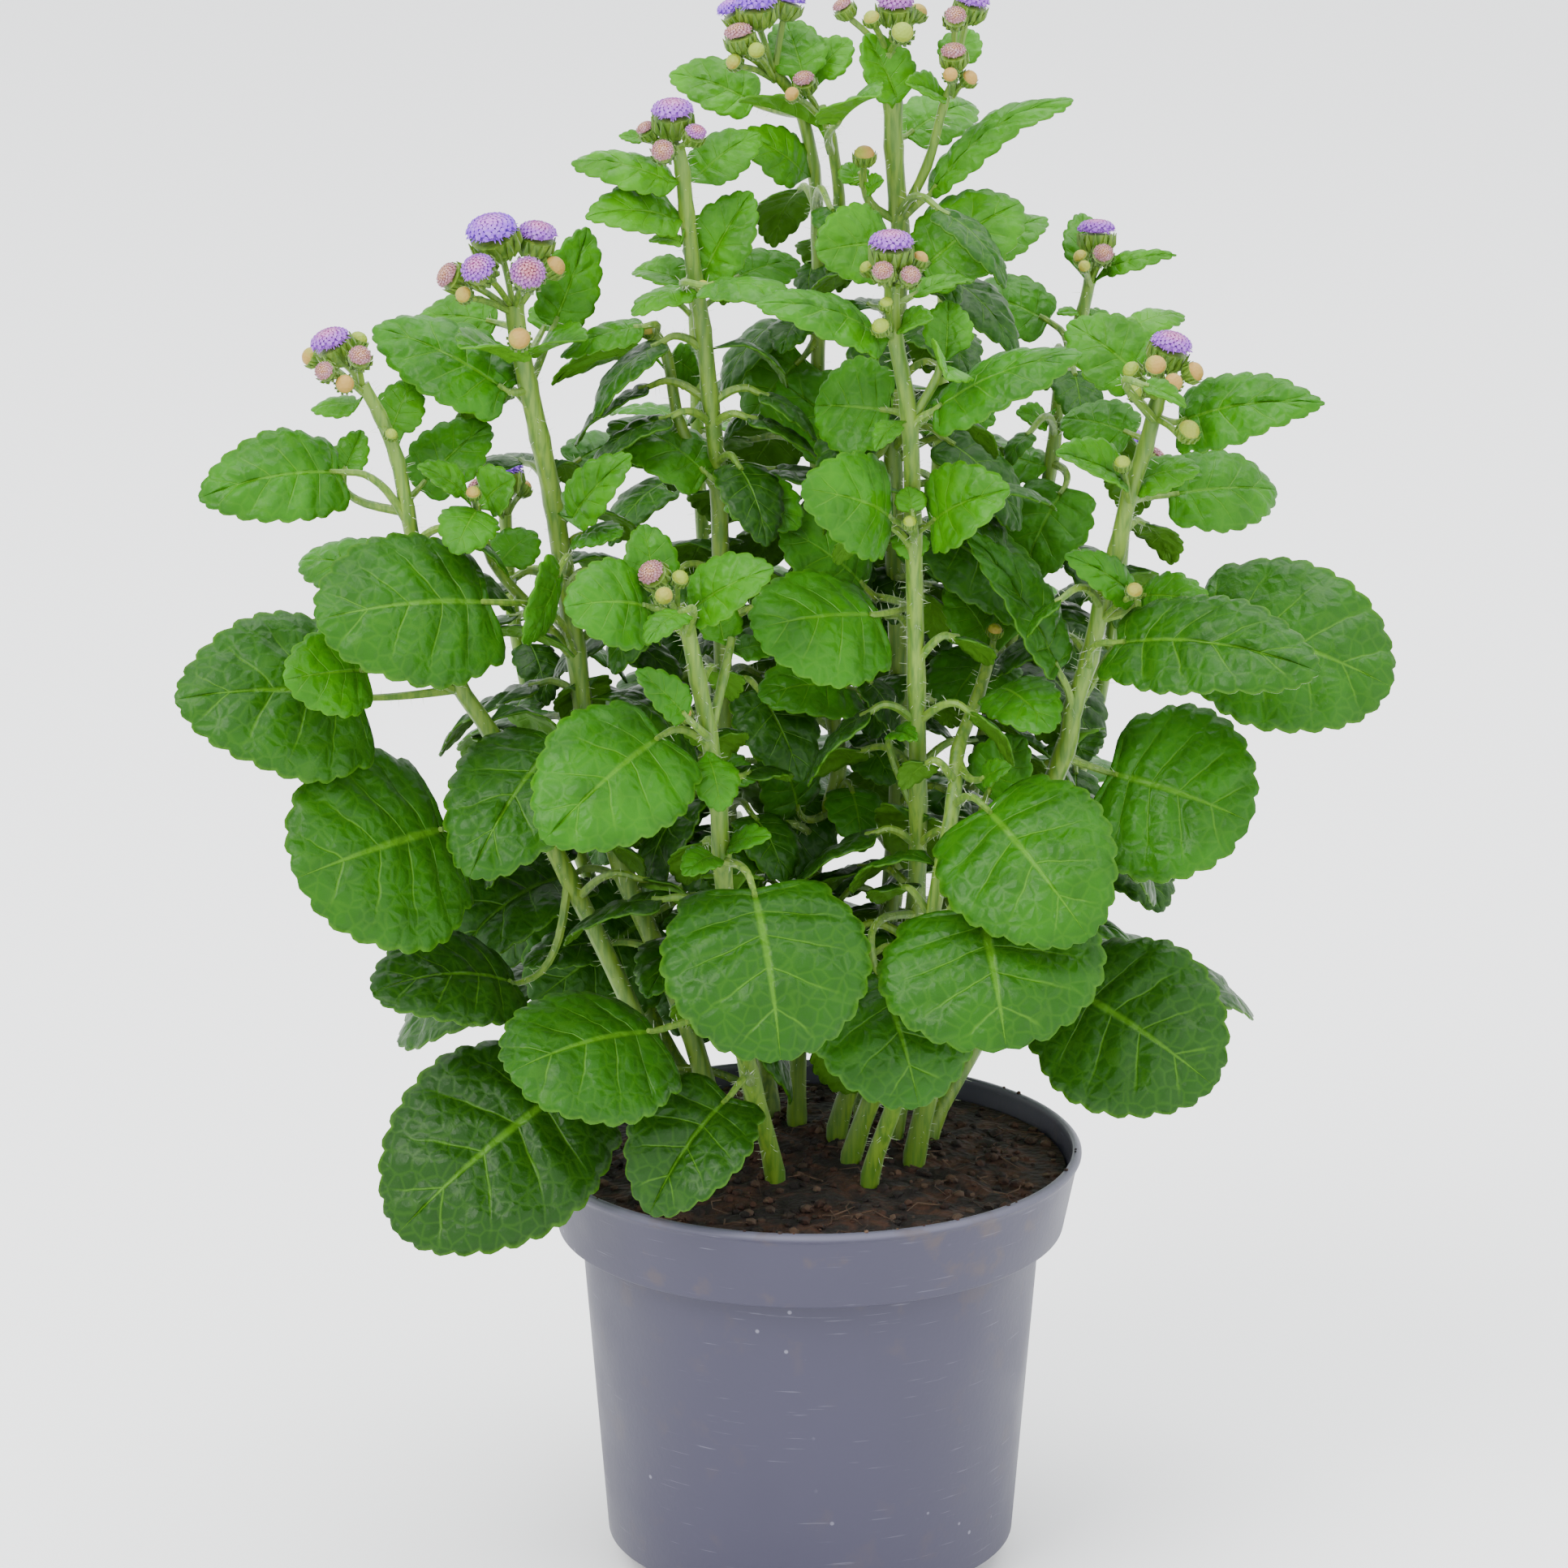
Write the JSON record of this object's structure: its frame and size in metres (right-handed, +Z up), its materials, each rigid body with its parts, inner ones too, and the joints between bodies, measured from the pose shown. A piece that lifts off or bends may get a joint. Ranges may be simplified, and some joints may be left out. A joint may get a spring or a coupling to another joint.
{
  "type": "potted ageratum plant",
  "caption": "Bushy ageratum bedding plant with toothed leaves and small violet flower clusters, in a round grey plastic nursery pot.",
  "frame": {"origin": "centre of the pot's foot, on its underside", "axes": "+Z up the plant, -Y towards the side seen in the picture, +X to that side's right"},
  "size_m": [0.2591, 0.1761, 0.3529],
  "materials": {
    "pot_plastic": "matte blue-grey",
    "potting_soil": "damp peat",
    "green_shoot": "soft satin leaves, hairy stems",
    "florets_violet": "matte, velvety",
    "florets_lilac": "matte, velvety",
    "florets_pink": "matte, velvety",
    "florets_blush": "matte, velvety"
  },
  "bodies": {
    "root": {"pot": "pot_plastic", "shoot_back_left": "green_shoot", "shoot_back_left_bloom_1": "florets_violet", "shoot_back_left_bloom_2": "florets_blush", "shoot_back_mid_left": "green_shoot", "shoot_back_mid_left_bloom_1": "florets_violet", "shoot_back_mid_left_bloom_2": "florets_blush", "shoot_back_mid_right": "green_shoot", "shoot_back_mid_right_bloom_1": "florets_violet", "shoot_back_mid_right_bloom_2": "florets_blush", "shoot_back_right": "green_shoot", "shoot_back_right_bloom_1": "florets_violet", "shoot_back_right_bloom_2": "florets_blush", "shoot_centre_front": "green_shoot", "shoot_centre_front_bloom_1": "florets_lilac", "shoot_centre_front_bloom_2": "florets_blush", "shoot_centre_front_bloom_3": "florets_blush", "shoot_centre_left": "green_shoot", "shoot_centre_left_bloom_1": "florets_lilac", "shoot_centre_left_bloom_2": "florets_blush", "shoot_centre_left_bloom_3": "florets_pink", "shoot_centre_left_bloom_4": "florets_blush", "shoot_far_left": "green_shoot", "shoot_far_left_bloom_1": "florets_lilac", "shoot_far_left_bloom_2": "florets_blush", "shoot_far_left_bloom_3": "florets_blush", "shoot_front": "green_shoot", "shoot_front_bloom_1": "florets_blush", "shoot_left": "green_shoot", "shoot_left_bloom_1": "florets_violet", "shoot_left_bloom_2": "florets_lilac", "shoot_left_bloom_3": "florets_lilac", "shoot_left_bloom_4": "florets_pink", "shoot_left_bloom_5": "florets_blush", "shoot_right": "green_shoot", "shoot_right_back": "green_shoot", "shoot_right_back_bloom_1": "florets_lilac", "shoot_right_back_bloom_2": "florets_blush", "shoot_right_bloom_1": "florets_lilac", "shoot_right_low": "green_shoot", "shoot_top": "green_shoot", "shoot_top_bloom_1": "florets_pink", "shoot_top_bloom_2": "florets_blush", "shoot_top_bloom_3": "florets_lilac", "shoot_top_bloom_4": "florets_blush", "shoot_top_bloom_5": "florets_blush", "shoot_top_left": "green_shoot", "shoot_top_left_bloom_1": "florets_violet", "shoot_top_left_bloom_2": "florets_violet", "shoot_top_left_bloom_3": "florets_violet", "shoot_top_left_bloom_4": "florets_blush", "shoot_top_left_bloom_5": "florets_blush", "soil": "potting_soil"}
  },
  "joints": []
}
